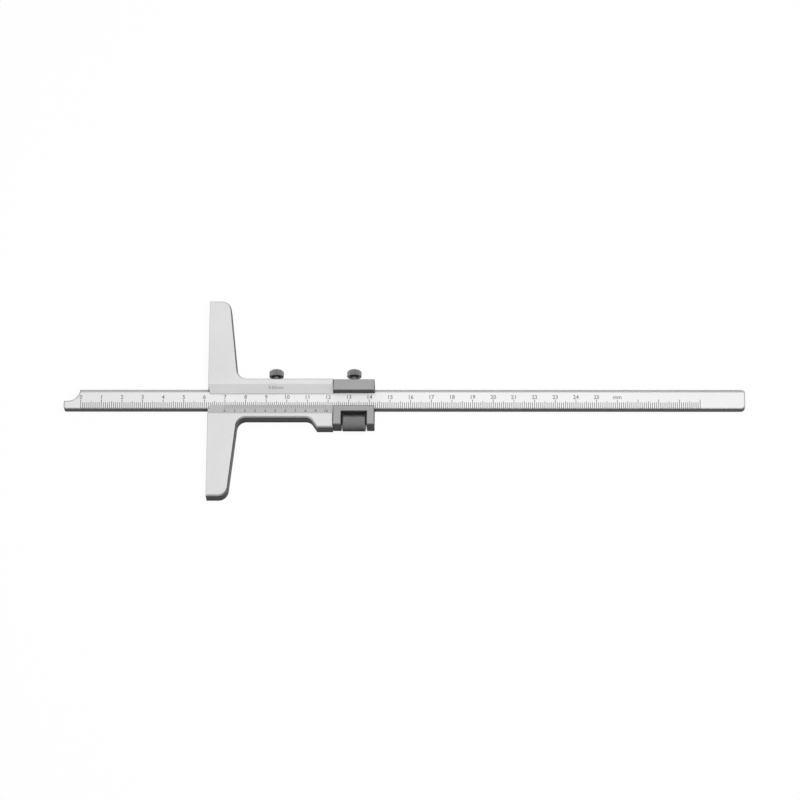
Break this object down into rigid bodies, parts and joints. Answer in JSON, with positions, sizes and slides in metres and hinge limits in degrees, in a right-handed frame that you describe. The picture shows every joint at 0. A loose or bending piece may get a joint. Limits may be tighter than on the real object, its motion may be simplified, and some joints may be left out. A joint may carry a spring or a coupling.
{
  "type": "vernier depth gauge",
  "caption": "Vernier depth gauge: a flat graduated beam slides through a T-shaped base with a vernier scale, clamp screws and a fine adjustment carriage.",
  "frame": {"origin": "on the measuring face of the base, on the beam's centre line, in the plane of the flat back", "axes": "+X along the beam to its free end, away from what is measured; +Y across the beam towards the clamp screws; +Z out of the graduated front, with the gauge lying on its back"},
  "size_m": [0.33, 0.1, 0.0106],
  "materials": {
    "beam_steel": "fine ground, bright",
    "base_chrome": "satin",
    "carriage_steel": "satin, darker",
    "screw_steel": "dark, fluted",
    "spring_steel": "bright spring strip",
    "pad_brass": "turned"
  },
  "bodies": {
    "base": {"base_body": "base_chrome", "slider_leaf_spring": "spring_steel", "fine_adjust_spindle": "screw_steel", "spindle_pin": "screw_steel"},
    "beam": {"beam": "beam_steel"},
    "carriage": {"fine_adjust_carriage": "carriage_steel", "carriage_leaf_spring": "spring_steel"},
    "nut": {"fine_adjust_nut": "screw_steel"},
    "slider_clamp_seat": {"slider_clamp_pad": "pad_brass"},
    "slider_clamp": {"slider_clamp_screw": "screw_steel"},
    "carriage_clamp_seat": {"carriage_clamp_pad": "pad_brass"},
    "carriage_clamp": {"carriage_clamp_screw": "screw_steel"}
  },
  "joints": [
    {"name": "depth_slide", "type": "slide", "parent": "base", "child": "beam", "axis": [-1, 0, 0], "range_m": [-0.07, 0.18]},
    {"name": "fine_adjust_slide", "type": "slide", "parent": "base", "child": "carriage", "axis": [1, 0, 0], "range_m": [0, 0.006]},
    {"name": "nut_turn", "type": "hinge", "parent": "carriage", "child": "nut", "pos_m": [0.07095, -0.0121, 0.0053], "axis": [1, 0, 0], "range_deg": [0, 4800]},
    {"name": "slider_clamp_lift", "type": "slide", "parent": "base", "child": "slider_clamp_seat", "axis": [0, 1, 0], "range_m": [0, 0.0005]},
    {"name": "slider_clamp_turn", "type": "hinge", "parent": "slider_clamp_seat", "child": "slider_clamp", "pos_m": [0.033, 0.0118, 0.004], "axis": [0, 1, 0], "range_deg": [0, 360]},
    {"name": "carriage_clamp_lift", "type": "slide", "parent": "carriage", "child": "carriage_clamp_seat", "axis": [0, 1, 0], "range_m": [0, 0.0005]},
    {"name": "carriage_clamp_turn", "type": "hinge", "parent": "carriage_clamp_seat", "child": "carriage_clamp", "pos_m": [0.0708, 0.0118, 0.004], "axis": [0, 1, 0], "range_deg": [0, 360]}
  ],
  "couplings": [
    {"joint": "nut_turn", "follows": "fine_adjust_slide", "rad_per_m": 13963},
    {"joint": "slider_clamp_turn", "follows": "slider_clamp_lift", "rad_per_m": 12566},
    {"joint": "carriage_clamp_turn", "follows": "carriage_clamp_lift", "rad_per_m": 12566}
  ]
}
